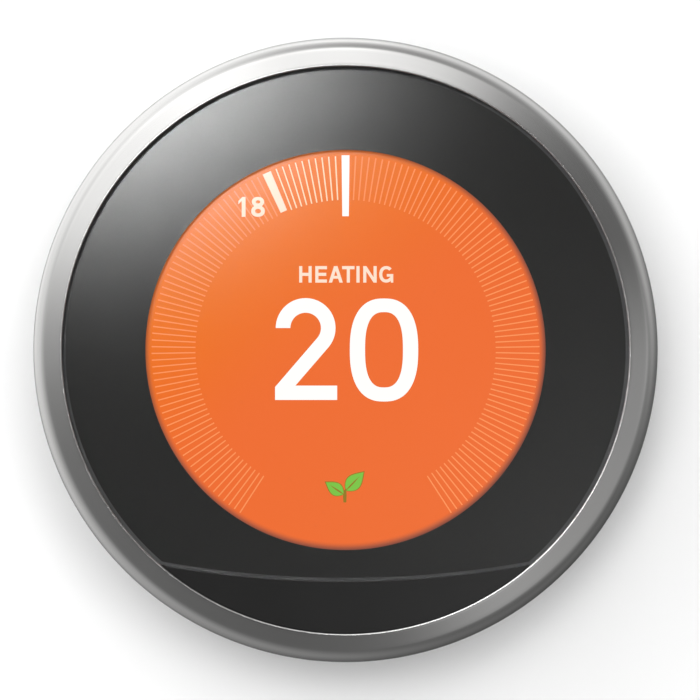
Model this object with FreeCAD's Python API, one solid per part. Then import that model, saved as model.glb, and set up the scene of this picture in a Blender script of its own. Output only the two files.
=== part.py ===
"""Round wall thermostat with a turning steel ring, built as an assembly of separate pieces.

Units are millimetres. +Z is up and +Y points into the wall. The origin is the centre of the
base's wall face. Depth is the distance out of the wall, so a point at depth d has y = -d.
The base screws to the wall. The display unit plugs onto it and pulls off. Its head is pressed in
as one large button, and its ring turns about the Y axis.
"""

import math
import os

import FreeCAD
import Part

# Driving dimensions
OVERALL_R = 42.0            # widest radius of the steel ring
OVERALL_DEPTH = 30.8        # wall face to the crown of the face lens
BASE_R = 38.0               # radius of the wall base
BASE_FRONT = 9.0            # depth of the base's front face
PRESS_TRAVEL = 0.6          # inward travel of the head
TAB_TRAVEL = 1.2            # inward travel of a release tab
RUNNING_FIT = 0.05          # radial clearance between the ring's carrier and its glide rings
PART_GAP = 0.2              # clearance between neighbouring covers

# Wall base
WALL_FLOOR = 2.0
RIM_WALL = 1.6
WIRE_HOLE_X = 24.0
WIRE_HOLE_Z = 18.0
WIRE_HOLE_CORNER = 4.0
SCREW_SPACING = 58.0
SCREW_HOLE_R = 2.2
SCREW_BOSS_R = 4.4
SCREW_BOSS_TOP = 5.0
BOARD_THICK = 1.2
BASE_BOARD_BACK = 3.0
BASE_BOARD_R = 35.6
BASE_BOARD_TOP = BASE_BOARD_BACK + BOARD_THICK
COVER_BACK = 7.4
COVER_SCREW_R = 32.0
COVER_SCREW_ANGLES = (40.0, 140.0, 220.0, 320.0)
SNAP_ANGLES = (0.0, 120.0, 240.0)
SNAP_FLOOR = 4.6

# Wire terminals
TERMINALS_PER_SIDE = 5
TERMINAL_PITCH = 6.6
BLOCK_INNER_X = 14.5
BLOCK_OUTER_X = 30.5
BLOCK_HALF_Z = 16.6
BLOCK_TOP = 9.4
WIRE_ENTRY_R = 1.15
WIRE_ENTRY_DEPTH = 6.6
TAB_INNER_X = 21.6
TAB_OUTER_X = 29.4
TAB_WIDTH = 4.6
TAB_BOTTOM = 7.4
TAB_TOP = 10.2
POCKET_GAP = 0.25

# Wiring tray in the base cover
TRAY_HALF_X = BLOCK_INNER_X - PART_GAP
TRAY_HALF_Z = BLOCK_HALF_Z + 0.3
TRAY_FLOOR = 4.4
TRAY_WALL = 0.8

# Bubble level and plug
LEVEL_Z = 20.6
LEVEL_LENGTH = 15.0
LEVEL_R = 2.3
LEVEL_DEPTH = 7.0
PLUG_Z = -20.8
SOCKET_X = 22.0
SOCKET_Z = 6.2
SOCKET_TOP = 10.2
SLOT_X = 19.2
SLOT_Z = 2.8
SLOT_FLOOR = 5.4
TONGUE_X = 18.4
TONGUE_Z = 2.0
CONTACTS_PER_ROW = 10
CONTACT_PITCH = 1.7

# Rear cover of the display unit
SKIRT_INNER_R = 38.5
SKIRT_OUTER_R = 39.7
SKIRT_BACK = 3.6
SHOULDER_R = 41.0
SHOULDER_TOP = 7.2
PARTITION_BACK = 11.0
PARTITION_TOP = 12.4
POST_R_AT = 33.5
POST_ANGLES = (45.0, 135.0, 225.0, 315.0)
LINK_BOARD_TOP = PARTITION_TOP + 0.8
USB_Z = -29.0

# Head
CHASSIS_BACK = PARTITION_TOP + 1.0
CHASSIS_FRONT = 28.4
CHASSIS_R = 38.0
CHASSIS_WALL = 1.4
FACE_PLATE_BACK = 26.8
WINDOW_R = 27.5
MAIN_BOARD_BACK = 19.4
MAIN_BOARD_TOP = MAIN_BOARD_BACK + BOARD_THICK
MAIN_BOARD_R = 35.8
BOARD_POST_AT = 33.0
BOARD_POST_ANGLES = (15.0, 90.0, 165.0)
PANEL_BACK = 25.2
BACKLIGHT_BACK = 22.4
BACKLIGHT_R = 29.6
BACKLIGHT_WALL = 0.5
SWITCH_BACK = 16.0
PLUNGER_R = 1.6

# Face: a lens and a sensor window, parted by a shallow arc
LENS_R = 37.87
LENS_EDGE = 29.9
SEAM_Z = -30.9
SEAM_ARC_R = 140.0
SEAM_GAP = 0.08

# Ring
RING_BACK = 8.0
RING_BACK_R = 41.3
RING_INNER_R = 40.5
RING_CORNER_R = OVERALL_R + 0.07    # where bevel and side would meet before rounding
RING_LIP_R = 37.96
RING_LIP_FRONT = 30.0
RING_BEVEL_SLOPE = 0.36     # drop of the front bevel for each unit of radius
RING_EDGE_ROUND = 2.7
RING_WEB_BACK = 28.55
GLIDE_R = 39.1
GLIDE_BACK = 18.2
GLIDE_FRONT = 26.2
GLIDE_SPLIT = 22.2
FLANGE = 0.8
FLANGE_R = 40.2


def disc(radius, back, front, x=0.0, z=0.0):
    """A cylinder along the depth, between two depths."""
    start = FreeCAD.Vector(x, -back, z)
    return Part.makeCylinder(radius, front - back, start, FreeCAD.Vector(0, -1, 0))


def hoop(inner, outer, back, front, x=0.0, z=0.0):
    """A round wall along the depth."""
    return disc(outer, back, front, x, z).cut(disc(inner, back - 1, front + 1, x, z))


def block(x0, x1, z0, z1, back, front):
    """A box between two x, two z and two depths."""
    corner = FreeCAD.Vector(x0, -front, z0)
    return Part.makeBox(x1 - x0, front - back, z1 - z0, corner)


def centred(x, z, width, height, back, front):
    """A box given by its centre and its size across."""
    return block(x - width / 2, x + width / 2, z - height / 2, z + height / 2, back, front)


def soft_block(x, z, width, height, back, front, corner):
    """A centred box whose four edges along the depth are rounded."""
    box = centred(x, z, width, height, back, front)
    along = [e for e in box.Edges if abs(e.tangentAt(e.FirstParameter).y) > 0.99]
    return box.makeFillet(corner, along)


def rod(radius, x0, x1, depth, z):
    """A cylinder along X."""
    return Part.makeCylinder(radius, x1 - x0, FreeCAD.Vector(x0, -depth, z), FreeCAD.Vector(1, 0, 0))


def polar(radius, angle):
    """The x and z at a radius and an angle in degrees from +X towards +Z."""
    return radius * math.cos(math.radians(angle)), radius * math.sin(math.radians(angle))


def turned(shape, angle):
    """A copy turned about the Y axis, from +X towards +Z."""
    copy = shape.copy()
    copy.rotate(FreeCAD.Vector(0, 0, 0), FreeCAD.Vector(0, 1, 0), -angle)
    return copy


def joined(shapes):
    """One solid from solids that overlap or touch."""
    return shapes[0].multiFuse(shapes[1:]).removeSplitter()


def lathe(edges):
    """A solid of revolution about Y from a closed outline of edges in the X-Y plane."""
    face = Part.Face(Part.Wire(edges))
    return face.revolve(FreeCAD.Vector(0, 0, 0), FreeCAD.Vector(0, 1, 0), 360)


def spot(radius, depth):
    """A point of a lathe outline."""
    return FreeCAD.Vector(radius, -depth, 0)


def line(a, b):
    return Part.LineSegment(a, b).toShape()


def arc(a, middle, b):
    return Part.Arc(a, middle, b).toShape()


def save(name, *solids):
    """Writes one node as a STEP file."""
    shape = solids[0] if len(solids) == 1 else Part.makeCompound(list(solids))
    for solid in shape.Solids:
        assert solid.isValid() and solid.Volume > 0, name
    shape.exportStep(f"parts/{name}.step")


# Wall base -----------------------------------------------------------------------------------

def screw_places():
    return [(0.0, side * SCREW_SPACING / 2) for side in (1, -1)]


def snap_spring_notch(angle):
    """The notch in the base's rim where a snap spring sits."""
    return turned(block(BASE_R - RIM_WALL - 1, BASE_R + 1, -5.4, 5.4, SNAP_FLOOR, BASE_FRONT + 1), angle)


def wall_plate():
    floor = disc(BASE_R, 0, WALL_FLOOR)
    rim = hoop(BASE_R - RIM_WALL, BASE_R, 0, BASE_FRONT)
    adds = [rim]
    for x, z in screw_places():
        adds.append(disc(SCREW_BOSS_R, 0, SCREW_BOSS_TOP, x, z))
    for angle in COVER_SCREW_ANGLES:
        adds.append(disc(2.2, 0, BASE_BOARD_BACK, *polar(COVER_SCREW_R, angle)))
    body = joined([floor] + adds)
    cuts = [soft_block(0, 0, WIRE_HOLE_X, WIRE_HOLE_Z, -1, WALL_FLOOR + 1, WIRE_HOLE_CORNER)]
    for x, z in screw_places():
        cuts.append(disc(SCREW_HOLE_R, -1, SCREW_BOSS_TOP + 1, x, z))
    for angle in COVER_SCREW_ANGLES:
        cuts.append(disc(0.8, 1.0, BASE_BOARD_BACK + 1, *polar(COVER_SCREW_R, angle)))
    cuts += [snap_spring_notch(angle) for angle in SNAP_ANGLES]
    return body.cut(cuts)


def base_board():
    board = disc(BASE_BOARD_R, BASE_BOARD_BACK, BASE_BOARD_TOP)
    cuts = [soft_block(0, 0, WIRE_HOLE_X + 3, WIRE_HOLE_Z + 3, 0, 9, WIRE_HOLE_CORNER)]
    for x, z in screw_places():
        cuts.append(disc(SCREW_BOSS_R + 0.5, 0, 9, x, z))
    for angle in COVER_SCREW_ANGLES:
        cuts.append(disc(1.2, 0, 9, *polar(COVER_SCREW_R, angle)))
    return board.cut(cuts)


def base_board_parts():
    """Switching transistors and their capacitors, in rows above and below the terminals."""
    solids = []
    for side in (1, -1):
        z = side * (BLOCK_HALF_Z + 3.4)
        for x in (-20.2, -16.6, -13.0, 13.0, 16.6, 20.2):
            solids.append(centred(x, z, 3.0, 3.0, BASE_BOARD_TOP, 5.4))
            solids.append(centred(x, z + side * 3.2, 2.0, 1.2, BASE_BOARD_TOP, 5.0))
    return solids


def base_cover():
    """Front deck of the base, with a sunk tray where the wires fan out to the terminals."""
    deck = disc(BASE_R - RIM_WALL - PART_GAP, COVER_BACK, BASE_FRONT)
    window = block(-BLOCK_OUTER_X - PART_GAP, BLOCK_OUTER_X + PART_GAP,
                   -TRAY_HALF_Z, TRAY_HALF_Z, 0, 12)
    deck = deck.cut(window)
    tray = block(-TRAY_HALF_X, TRAY_HALF_X, -TRAY_HALF_Z, TRAY_HALF_Z,
                 TRAY_FLOOR, TRAY_FLOOR + TRAY_WALL)
    side_walls = [
        block(-TRAY_HALF_X, TRAY_HALF_X, z - TRAY_WALL / 2, z + TRAY_WALL / 2, TRAY_FLOOR, BASE_FRONT)
        for z in (TRAY_HALF_Z - TRAY_WALL / 2 + 0.2, -TRAY_HALF_Z + TRAY_WALL / 2 - 0.2)
    ]
    adds = [tray] + side_walls
    for angle in COVER_SCREW_ANGLES:
        adds.append(disc(2.2, BASE_BOARD_TOP, BASE_FRONT, *polar(COVER_SCREW_R, angle)))
    body = joined([deck] + adds)
    cuts = [
        soft_block(0, 0, WIRE_HOLE_X, WIRE_HOLE_Z, 0, 12, WIRE_HOLE_CORNER),
        centred(0, LEVEL_Z, LEVEL_LENGTH + 1, 2 * LEVEL_R + 0.6, 0, 12),
        centred(0, PLUG_Z, SOCKET_X + 0.5, SOCKET_Z + 0.5, 0, 12),
    ]
    for x, z in screw_places():
        cuts.append(disc(SCREW_BOSS_R + 0.3, 0, 12, x, z))
    for angle in COVER_SCREW_ANGLES:
        x, z = polar(COVER_SCREW_R, angle)
        cuts.append(disc(0.95, 0, 12, x, z))
        cuts.append(disc(1.6, BASE_FRONT - 0.9, 12, x, z))
    for angle in SNAP_ANGLES:
        cuts.append(turned(block(34.6, 40, -5.8, 5.8, 0, 12), angle))
    return body.cut(cuts)


def base_screws():
    solids = []
    for angle in COVER_SCREW_ANGLES:
        x, z = polar(COVER_SCREW_R, angle)
        head = disc(1.5, BASE_FRONT - 0.9, BASE_FRONT - 0.1, x, z)
        shank = disc(0.78, 1.2, BASE_FRONT - 0.9, x, z)
        slot = [centred(x, z, 1.8, 0.4, BASE_FRONT - 0.5, BASE_FRONT + 1),
                centred(x, z, 0.4, 1.8, BASE_FRONT - 0.5, BASE_FRONT + 1)]
        solids.append(joined([head, shank]).cut(slot))
    return solids


def snap_springs():
    """Three bent leaf springs in the rim that grip the inside of the display unit's skirt."""
    solids = []
    thick = 0.35
    for angle in SNAP_ANGLES:
        leg = block(35.6, 35.6 + thick, -4.6, 4.6, SNAP_FLOOR, 8.6)
        foot = block(35.6, 37.4, -4.6, 4.6, SNAP_FLOOR, SNAP_FLOOR + thick)
        nose = block(35.6, 38.2, -3.2, 3.2, 8.6 - thick, 8.6)
        solids.append(turned(joined([leg, foot, nose]), angle))
    return solids


def terminal_rows():
    middle = (TERMINALS_PER_SIDE - 1) / 2
    return [(middle - row) * TERMINAL_PITCH for row in range(TERMINALS_PER_SIDE)]


def terminal_block(side):
    """One row of push-in terminals: wires enter from the tray side, tabs face the front."""
    body = block(BLOCK_INNER_X, BLOCK_OUTER_X, -BLOCK_HALF_Z, BLOCK_HALF_Z, BASE_BOARD_TOP, BLOCK_TOP)
    cuts = []
    for z in terminal_rows():
        cuts.append(rod(WIRE_ENTRY_R, BLOCK_INNER_X - 1, 19, WIRE_ENTRY_DEPTH, z))
        funnel = Part.makeCone(WIRE_ENTRY_R + 0.7, WIRE_ENTRY_R, 1.2,
                               FreeCAD.Vector(BLOCK_INNER_X, -WIRE_ENTRY_DEPTH, z),
                               FreeCAD.Vector(1, 0, 0))
        cuts.append(funnel)
        cuts.append(block(18, 20.8, z - 1.8, z + 1.8, BASE_BOARD_TOP - 1, 8.4))
        cuts.append(block(TAB_INNER_X - POCKET_GAP, TAB_OUTER_X + POCKET_GAP,
                          z - TAB_WIDTH / 2 - POCKET_GAP, z + TAB_WIDTH / 2 + POCKET_GAP,
                          TAB_BOTTOM - TAB_TRAVEL - 0.2, BLOCK_TOP + 1))
    body = body.cut(cuts)
    return body if side > 0 else turned(body, 180)


def clamp_springs(side):
    """The bent leaf in each terminal that grips the bare wire."""
    solids = []
    for z in terminal_rows():
        post = block(20.3, 20.6, z - 1.5, z + 1.5, BASE_BOARD_TOP, 8.2)
        top = block(18.3, 20.6, z - 1.5, z + 1.5, 7.9, 8.2)
        foot = block(18.6, 20.6, z - 1.5, z + 1.5, BASE_BOARD_TOP, BASE_BOARD_TOP + 0.3)
        leaf = joined([post, top, foot])
        solids.append(leaf if side > 0 else turned(leaf, 180))
    return solids


def release_tab(side, z):
    """A finger tab with a dished, ribbed top that opens its terminal."""
    tab = block(TAB_INNER_X, TAB_OUTER_X, z - TAB_WIDTH / 2, z + TAB_WIDTH / 2, TAB_BOTTOM, TAB_TOP)
    corners = [e for e in tab.Edges if abs(e.tangentAt(e.FirstParameter).y) > 0.99]
    tab = tab.makeFillet(0.5, corners)
    dish_r = 14.0
    middle = (TAB_INNER_X + TAB_OUTER_X) / 2
    dish = Part.makeCylinder(dish_r, TAB_WIDTH + 2,
                             FreeCAD.Vector(middle, -(TAB_TOP + dish_r - 0.45), z - TAB_WIDTH / 2 - 1),
                             FreeCAD.Vector(0, 0, 1))
    tab = tab.cut(dish)
    return tab if side > 0 else turned(tab, 180)


def level_vial():
    half = LEVEL_LENGTH / 2
    return rod(LEVEL_R, -half, half, LEVEL_DEPTH, LEVEL_Z).cut(
        rod(LEVEL_R - 0.5, -half + 0.8, half - 0.8, LEVEL_DEPTH, LEVEL_Z))


def level_fluid():
    """The coloured spirit in the vial, with its bubble left out at the top."""
    half = LEVEL_LENGTH / 2 - 0.8
    fluid = rod(LEVEL_R - 0.5, -half, half, LEVEL_DEPTH, LEVEL_Z)
    reach = 1.5
    at = FreeCAD.Vector(-reach, -LEVEL_DEPTH - 0.35, LEVEL_Z + 0.35)
    bubble = Part.makeCylinder(1.15, 2 * reach, at, FreeCAD.Vector(1, 0, 0))
    ends = [Part.makeSphere(1.15, FreeCAD.Vector(x, at.y, at.z)) for x in (-reach, reach)]
    return fluid.cut(bubble.fuse(ends))


def level_cradle():
    """Saddle under the vial, with a marker line either side of the bubble."""
    base = centred(0, LEVEL_Z, LEVEL_LENGTH - 1, 2 * LEVEL_R, BASE_BOARD_TOP, LEVEL_DEPTH)
    saddle = base.cut(rod(LEVEL_R, -9, 9, LEVEL_DEPTH, LEVEL_Z))
    marks = []
    for x in (-3.0, 3.0):
        band = rod(LEVEL_R + 0.25, x - 0.2, x + 0.2, LEVEL_DEPTH, LEVEL_Z)
        marks.append(band.cut(rod(LEVEL_R, x - 1, x + 1, LEVEL_DEPTH, LEVEL_Z)))
    return joined([saddle] + marks)


def contact_places():
    middle = (CONTACTS_PER_ROW - 1) / 2
    return [(n - middle) * CONTACT_PITCH for n in range(CONTACTS_PER_ROW)]


def base_socket():
    """Receptacle for the display unit's plug, with a groove behind each spring contact."""
    body = soft_block(0, PLUG_Z, SOCKET_X, SOCKET_Z, BASE_BOARD_TOP, SOCKET_TOP, 0.8)
    cuts = [centred(0, PLUG_Z, SLOT_X, SLOT_Z, SLOT_FLOOR, SOCKET_TOP + 1)]
    for x in contact_places():
        cuts.append(centred(x, PLUG_Z, 0.9, SLOT_Z + 1.2, SLOT_FLOOR, SOCKET_TOP - 0.8))
    return body.cut(cuts)


def socket_contacts():
    solids = []
    for x in contact_places():
        for side in (1, -1):
            z = PLUG_Z + side * (TONGUE_Z / 2 + 0.4)
            solids.append(centred(x, z, 0.6, 0.3, SLOT_FLOOR, SOCKET_TOP - 1.0))
    return solids


# Display unit: rear housing ------------------------------------------------------------------

def vent_slots():
    """Short slots through the skirt's shoulder, low down, that let room air in."""
    slots = []
    for step in range(-4, 5):
        slots.append(turned(block(37, 43, -1.1, 1.1, 4.9, 6.1), 270 + 5.5 * step))
    return slots


def rear_cover():
    """Black housing: a skirt round the base, a shoulder behind the ring and a dividing wall."""
    skirt = hoop(SKIRT_INNER_R, SKIRT_OUTER_R, SKIRT_BACK, PARTITION_TOP)
    outline = [
        spot(SKIRT_OUTER_R - 0.5, SKIRT_BACK),
        spot(SHOULDER_R - 0.7, SKIRT_BACK),
        spot(SHOULDER_R - 0.2, SKIRT_BACK + 0.25),
        spot(SHOULDER_R, SKIRT_BACK + 0.8),
        spot(SHOULDER_R, SHOULDER_TOP),
        spot(SKIRT_OUTER_R - 0.5, SHOULDER_TOP),
    ]
    edges = [line(outline[0], outline[1]), arc(*outline[1:4])]
    edges += [line(outline[n], outline[(n + 1) % 6]) for n in (3, 4, 5)]
    shoulder = lathe(edges)
    wall = disc(SKIRT_OUTER_R, PARTITION_BACK, PARTITION_TOP)
    boss = disc(2.6, PARTITION_TOP - 0.5, SWITCH_BACK - 1.0)
    body = joined([skirt, shoulder, wall, boss])
    cuts = vent_slots()
    cuts.append(soft_block(0, PLUG_Z, TONGUE_X + 1.6, TONGUE_Z + 1.6, 8, PARTITION_TOP + 1, 0.6))
    cuts.append(soft_block(0, USB_Z, 8.4, 3.6, 8, PARTITION_TOP + 1, 1.2))
    for angle in POST_ANGLES:
        cuts.append(disc(1.75, 8, PARTITION_TOP + 1, *polar(POST_R_AT, angle)))
    return body.cut(cuts)


def link_board():
    """Small board on the dividing wall that carries the plug and the charging port."""
    board = block(-14, 14, -32, -15.5, PARTITION_TOP, LINK_BOARD_TOP)
    return board.cut([centred(0, PLUG_Z, TONGUE_X + 0.3, TONGUE_Z + 0.3, 10, 16),
                      centred(0, USB_Z, 8.1, 3.3, 10, 16)])


def display_plug():
    tongue = centred(0, PLUG_Z, TONGUE_X, TONGUE_Z, SLOT_FLOOR + 0.5, LINK_BOARD_TOP)
    tip = [e for e in tongue.Edges
           if all(abs(v.Point.y + SLOT_FLOOR + 0.5) < 1e-6 for v in e.Vertexes)]
    tongue = tongue.makeChamfer(0.35, tip)
    head = centred(0, PLUG_Z, TONGUE_X + 2, TONGUE_Z + 2, LINK_BOARD_TOP, LINK_BOARD_TOP + 0.9)
    pads = [centred(x, PLUG_Z, 0.7, TONGUE_Z + 1, SLOT_FLOOR + 1.0, PARTITION_BACK)
            for x in contact_places()]
    kept = centred(0, PLUG_Z, TONGUE_X, TONGUE_Z - 0.2, 4, 20)
    grooves = [pad.cut(kept) for pad in pads]
    return joined([tongue, head]).cut(grooves)


def plug_contacts():
    solids = []
    for x in contact_places():
        for side in (1, -1):
            z = PLUG_Z + side * (TONGUE_Z / 2 - 0.05)
            solids.append(centred(x, z, 0.7, 0.1, SLOT_FLOOR + 1.0, PARTITION_BACK))
    return solids


def usb_shell():
    outer = soft_block(0, USB_Z, 7.8, 3.1, PARTITION_BACK + 0.2, 16.6, 0.9)
    inner = soft_block(0, USB_Z, 7.2, 2.5, PARTITION_BACK - 1, 16.0, 0.7)
    return outer.cut(inner)


def usb_tongue():
    return centred(0, USB_Z, 5.4, 0.7, PARTITION_BACK + 0.8, 16.0)


def climate_sensor():
    """Temperature and humidity sensor on a tiny board, just above the vents."""
    board = centred(0, -34.0, 7.0, 1.8, PARTITION_TOP, PARTITION_TOP + 0.8)
    chip = centred(0, -34.0, 1.5, 1.5, PARTITION_TOP + 0.8, PARTITION_TOP + 1.4)
    return joined([board, chip])


def switch_plunger():
    return disc(PLUNGER_R, SWITCH_BACK - 1.0, SWITCH_BACK + 1.4)


def head_springs():
    """Four arched leaf springs between the dividing wall and the chassis, which push the head out."""
    gap = CHASSIS_BACK - PARTITION_TOP
    thick, reach, crown = 0.2, 6.0, 1.6
    rise = gap - thick
    solids = []
    for angle in (0, 90, 180, 270):
        low, high = -PARTITION_TOP, -PARTITION_TOP - rise
        points = [(-reach, low), (-crown, high), (crown, high), (reach, low)]
        ridge = [(x, y - thick) for x, y in reversed(points)]
        corners = [FreeCAD.Vector(36.9, y, x) for x, y in points + ridge]
        wire = Part.makePolygon(corners + corners[:1])
        leaf = Part.Face(wire).extrude(FreeCAD.Vector(0.8, 0, 0))
        solids.append(turned(leaf, angle))
    return solids


# Display unit: head --------------------------------------------------------------------------

def sensor_aperture(back, front):
    return block(-11, 11, -35.7, -31.7, back, front)


def chassis():
    """Black moulding that carries the face, the display, the boards and the ring's bearing."""
    tube = hoop(CHASSIS_R - CHASSIS_WALL, CHASSIS_R, CHASSIS_BACK, CHASSIS_FRONT)
    plate = disc(CHASSIS_R, FACE_PLATE_BACK, CHASSIS_FRONT)
    adds = [plate]
    for angle in POST_ANGLES:
        adds.append(disc(2.3, CHASSIS_BACK, FACE_PLATE_BACK + 0.5, *polar(POST_R_AT, angle)))
        adds.append(turned(block(POST_R_AT, CHASSIS_R - 0.5, -1.2, 1.2,
                                 CHASSIS_BACK, FACE_PLATE_BACK + 0.5), angle))
    for angle in BOARD_POST_ANGLES:
        adds.append(disc(1.9, MAIN_BOARD_TOP, FACE_PLATE_BACK + 0.5, *polar(BOARD_POST_AT, angle)))
    body = joined([tube] + adds)
    cuts = [disc(WINDOW_R, 20, 30), sensor_aperture(25, 30)]
    cuts.append(block(33, 41, -3.4, 3.4, CHASSIS_BACK - 1, 17.8))
    for angle in POST_ANGLES:
        cuts.append(disc(1.0, CHASSIS_BACK - 1, 20.0, *polar(POST_R_AT, angle)))
    for angle in BOARD_POST_ANGLES:
        cuts.append(disc(0.6, MAIN_BOARD_TOP - 1, 25.5, *polar(BOARD_POST_AT, angle)))
    return body.cut(cuts)


def shoulder_screws():
    """Four screws that tie the head to the rear cover and let it travel."""
    solids = []
    for angle in POST_ANGLES:
        x, z = polar(POST_R_AT, angle)
        head = disc(2.6, PARTITION_BACK - 1.0, PARTITION_BACK, x, z)
        shoulder = disc(1.5, PARTITION_BACK, CHASSIS_BACK, x, z)
        shank = disc(0.98, CHASSIS_BACK, 19.0, x, z)
        socket = [centred(x, z, 2.6, 0.7, 8, PARTITION_BACK - 0.5),
                  centred(x, z, 0.7, 2.6, 8, PARTITION_BACK - 0.5)]
        solids.append(joined([head, shoulder, shank]).cut(socket))
    return solids


def main_board():
    board = disc(MAIN_BOARD_R, MAIN_BOARD_BACK, MAIN_BOARD_TOP)
    cuts = []
    for angle in POST_ANGLES:
        cuts.append(turned(block(POST_R_AT - 2.9, 40, -2.7, 2.7, 18, 22), angle))
    for angle in BOARD_POST_ANGLES:
        cuts.append(disc(0.9, 18, 22, *polar(BOARD_POST_AT, angle)))
    return board.cut(cuts)


def board_screws():
    solids = []
    for angle in BOARD_POST_ANGLES:
        x, z = polar(BOARD_POST_AT, angle)
        head = disc(1.6, MAIN_BOARD_BACK - 0.9, MAIN_BOARD_BACK, x, z)
        shank = disc(0.58, MAIN_BOARD_BACK, 24.5, x, z)
        cross = [centred(x, z, 1.9, 0.4, 17, MAIN_BOARD_BACK - 0.5),
                 centred(x, z, 0.4, 1.9, 17, MAIN_BOARD_BACK - 0.5)]
        solids.append(joined([head, shank]).cut(cross))
    return solids


def main_board_chips():
    """Processor, memory, radio and power parts on the wall side of the main board."""
    places = [
        (-24.0, -6.0, 11.0, 11.0, 1.2), (-24.0, 6.5, 9.0, 8.0, 1.0), (22.0, 5.0, 7.0, 7.0, 0.9),
        (-11.5, -10.0, 5.0, 5.0, 0.9), (11.5, -8.0, 6.0, 5.0, 1.0), (9.0, -27.0, 4.0, 4.0, 0.8),
        (-9.0, -27.0, 4.0, 3.0, 0.8), (22.0, 14.0, 3.2, 5.0, 1.1), (-22.0, 14.5, 3.0, 4.0, 1.1),
    ]
    solids = [centred(x, z, w, h, MAIN_BOARD_BACK - t, MAIN_BOARD_BACK) for x, z, w, h, t in places]
    for step in range(7):
        solids.append(centred(-12.6 + 1.7 * step, -15.4, 1.0, 1.6, MAIN_BOARD_BACK - 0.6, MAIN_BOARD_BACK))
    return solids


def shield_cans():
    """Two stamped covers over the radios, with open undersides on the board."""
    solids = []
    for x, z, width, height in ((24.5, -10.0, 13.0, 15.0), (-18.5, -16.5, 8.0, 7.0)):
        outer = soft_block(x, z, width, height, MAIN_BOARD_BACK - 2.0, MAIN_BOARD_BACK, 0.6)
        inner = centred(x, z, width - 0.5, height - 0.5, MAIN_BOARD_BACK - 1.75, MAIN_BOARD_BACK + 1)
        solids.append(outer.cut(inner))
    return solids


def battery_cell():
    cell = soft_block(0, 17.5, 29.0, 25.0, 14.6, 18.8, 1.6)
    rim = [e for e in cell.Edges if abs(e.tangentAt(e.FirstParameter).y) < 1e-3]
    return cell.makeFillet(0.8, rim)


def battery_lead():
    """Two short wires from the cell's edge to their board plug."""
    wires = []
    for x in (-16.9, -15.9):
        wires.append(Part.makeCylinder(0.4, 3.2, FreeCAD.Vector(x, -18.0, 8.0), FreeCAD.Vector(0, 0, -1)))
    plug = centred(-16.4, 3.2, 4.2, 3.2, MAIN_BOARD_BACK - 2.0, MAIN_BOARD_BACK)
    tab = block(-17.5, -14.6, 8.0, 9.2, 17.4, 18.6)
    return joined([plug, tab] + wires)


def click_switch():
    body = soft_block(0, 0, 6.2, 6.2, SWITCH_BACK, MAIN_BOARD_BACK, 0.6)
    return body.cut(disc(PLUNGER_R + 0.05, SWITCH_BACK - 1, SWITCH_BACK + 2.2))


def speaker():
    """Piezo disc that makes the click."""
    can = disc(6.0, MAIN_BOARD_BACK - 2.2, MAIN_BOARD_BACK, 5.0, -17.0)
    return can.cut(disc(1.0, MAIN_BOARD_BACK - 3, MAIN_BOARD_BACK - 1.2, 5.0, -17.0))


def ring_reader():
    """Optical sensor that looks out through the chassis at the ring's patterned band."""
    eye = block(33.2, 39.5, -3.0, 3.0, 14.2, 17.2)
    stem = block(33.2, 35.4, -3.0, 3.0, 17.2, MAIN_BOARD_BACK)
    return joined([eye, stem])


def link_flex():
    """Flat cable from the main board back to the link board, with one slack fold."""
    half, thick = 4.0, 0.15
    low = LINK_BOARD_TOP
    a = block(-13.6, -13.6 + 2 * half, -18.6, -17.0, low, low + thick)
    b = block(-13.6, -13.6 + 2 * half, -18.6 - thick, -18.6, low, MAIN_BOARD_BACK)
    c = block(-13.6, -13.6 + 2 * half, -18.6 - thick, -17.0, MAIN_BOARD_BACK - thick, MAIN_BOARD_BACK)
    return joined([a, b, c])


def backlight_frame():
    cup = disc(BACKLIGHT_R, BACKLIGHT_BACK, FACE_PLATE_BACK)
    return cup.cut(disc(BACKLIGHT_R - BACKLIGHT_WALL, BACKLIGHT_BACK + BACKLIGHT_WALL, 30))


def light_guide():
    return disc(BACKLIGHT_R - BACKLIGHT_WALL, BACKLIGHT_BACK + BACKLIGHT_WALL, PANEL_BACK)


def display_panel():
    return disc(BACKLIGHT_R - BACKLIGHT_WALL, PANEL_BACK, FACE_PLATE_BACK)


def display_flex():
    """Flat cable from the panel's edge down to the main board."""
    thick = 0.2
    drop = block(-32.2 - thick, -32.2, -4.5, 4.5, MAIN_BOARD_TOP, 26.2)
    foot = block(-32.4, -30.2, -4.5, 4.5, MAIN_BOARD_TOP, MAIN_BOARD_TOP + 1.0)
    top = block(-32.4, -BACKLIGHT_R + 0.0, -4.5, 4.5, 26.0, 26.2)
    return joined([drop, foot, top]).cut(disc(BACKLIGHT_R, 20, 30))


def motion_sensors():
    """Two heat sensors in small cans, side by side behind the sensor window."""
    solids = []
    for x in (-6.5, 6.5):
        can = disc(2.4, MAIN_BOARD_TOP, 25.8, x, -33.4)
        foot = disc(2.55, MAIN_BOARD_TOP, MAIN_BOARD_TOP + 0.6, x, -33.4)
        solids.append(joined([can, foot]).cut(centred(x, -33.4, 2.6, 1.8, 25.5, 27)))
    return solids


def motion_lens():
    """Lens strip that gathers the room's heat onto the two sensors."""
    strip = block(-10.9, 10.9, -35.6, -31.8, 27.3, 27.9)
    ribs = []
    for step in range(6):
        x = -9.0 + 3.6 * step
        rib = rod(0.9, x - 1.6, x + 1.6, 27.0, -33.7)
        ribs.append(rib.common(block(-12, 12, -36, -31, 26.2, 27.4)))
    return joined([strip] + ribs)


# Face ----------------------------------------------------------------------------------------

def crown_radius():
    """Radius of the sphere whose cap rises from the lens's edge to the overall depth."""
    rise = OVERALL_DEPTH - LENS_EDGE
    return (LENS_R ** 2 + rise ** 2) / (2 * rise)


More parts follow.
